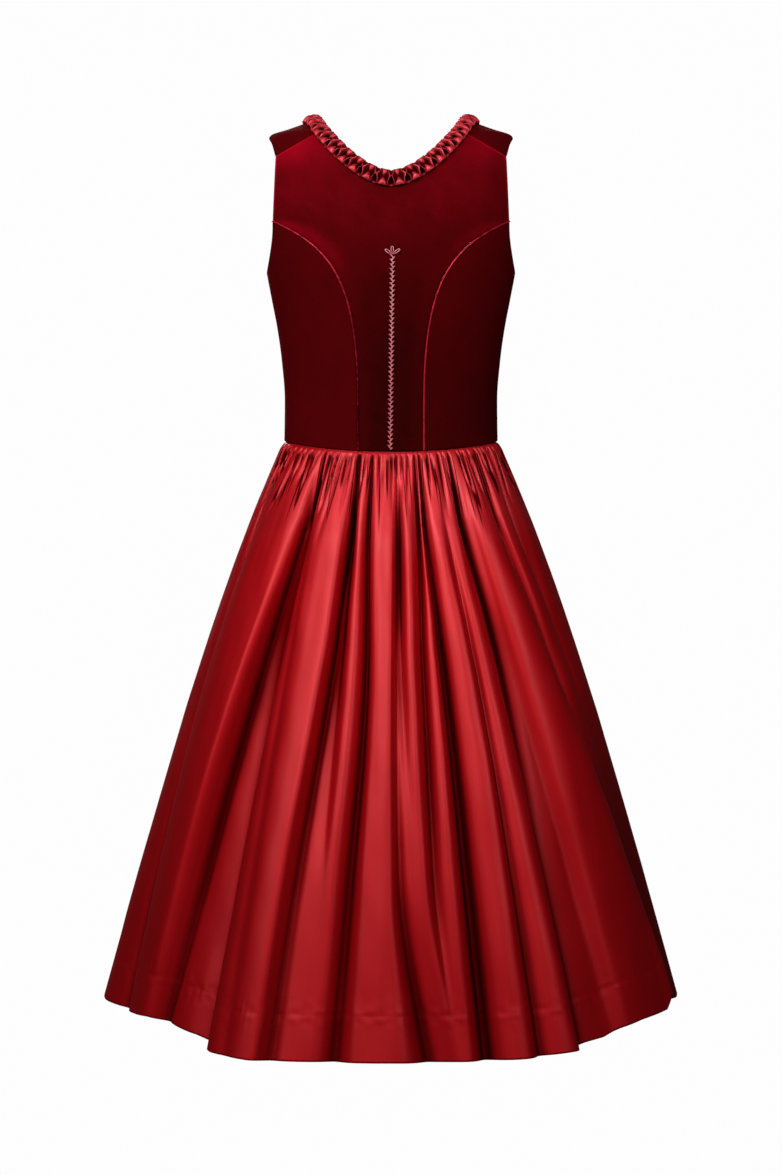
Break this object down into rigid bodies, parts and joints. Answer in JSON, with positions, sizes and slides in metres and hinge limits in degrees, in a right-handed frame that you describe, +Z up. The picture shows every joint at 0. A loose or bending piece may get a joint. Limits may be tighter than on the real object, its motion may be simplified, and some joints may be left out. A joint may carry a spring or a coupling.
{
  "type": "dirndl dress",
  "caption": "Sleeveless dirndl in its worn shape, hollow: fitted velvet bodice with curved back seams, pinched satin ruche round the neck and gathered satin skirt.",
  "frame": {"origin": "midway between the two shoulder straps, at the height where they rest on the wearer's shoulders", "axes": "+Z up, +X to the wearer's left, -Y to the front; the back with the feather stitch faces +Y"},
  "size_m": [0.698, 0.6409, 1.06],
  "materials": {
    "velvet": "deep red pile",
    "satin": "smooth red sheen"
  },
  "bodies": {
    "root": {"back_centre": "velvet", "back_side_left": "velvet", "back_side_right": "velvet", "front_centre_left": "velvet", "front_centre_right": "velvet", "front_side_left": "velvet", "front_side_right": "velvet", "neck_ruche": "satin", "back_piping_left": "satin", "back_piping_right": "satin", "skirt_back": "satin", "skirt_front": "satin"}
  },
  "joints": []
}
